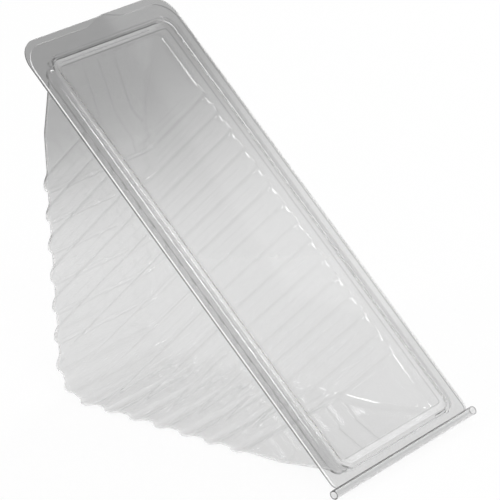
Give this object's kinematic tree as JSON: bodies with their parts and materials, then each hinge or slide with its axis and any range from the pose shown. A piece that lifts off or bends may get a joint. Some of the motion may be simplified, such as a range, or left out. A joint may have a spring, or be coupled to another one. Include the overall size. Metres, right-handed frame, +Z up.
{
  "type": "sandwich wedge pack",
  "caption": "Clear three-cornered sandwich pack: a ribbed wedge tray with a flange and a windowed lid on a folded bead hinge, with staggered finger tabs.",
  "frame": {"origin": "on the surface the pack stands on, under the middle of the box it fills", "axes": "+X across the pack towards the side of the lid's finger tab, +Y from the hinge towards the upright leg, +Z up"},
  "size_m": [0.083, 0.1328, 0.134],
  "materials": {
    "tray_sheet": "clear formed sheet, gloss",
    "lid_sheet": "clear formed sheet, gloss"
  },
  "bodies": {
    "tray": {"tray": "tray_sheet"},
    "lid": {"lid": "lid_sheet"}
  },
  "joints": [
    {"name": "lid_hinge", "type": "hinge", "parent": "tray", "child": "lid", "pos_m": [0, -0.06596, 0.00235], "axis": [1, 0, 0], "range_deg": [0, 130]}
  ]
}
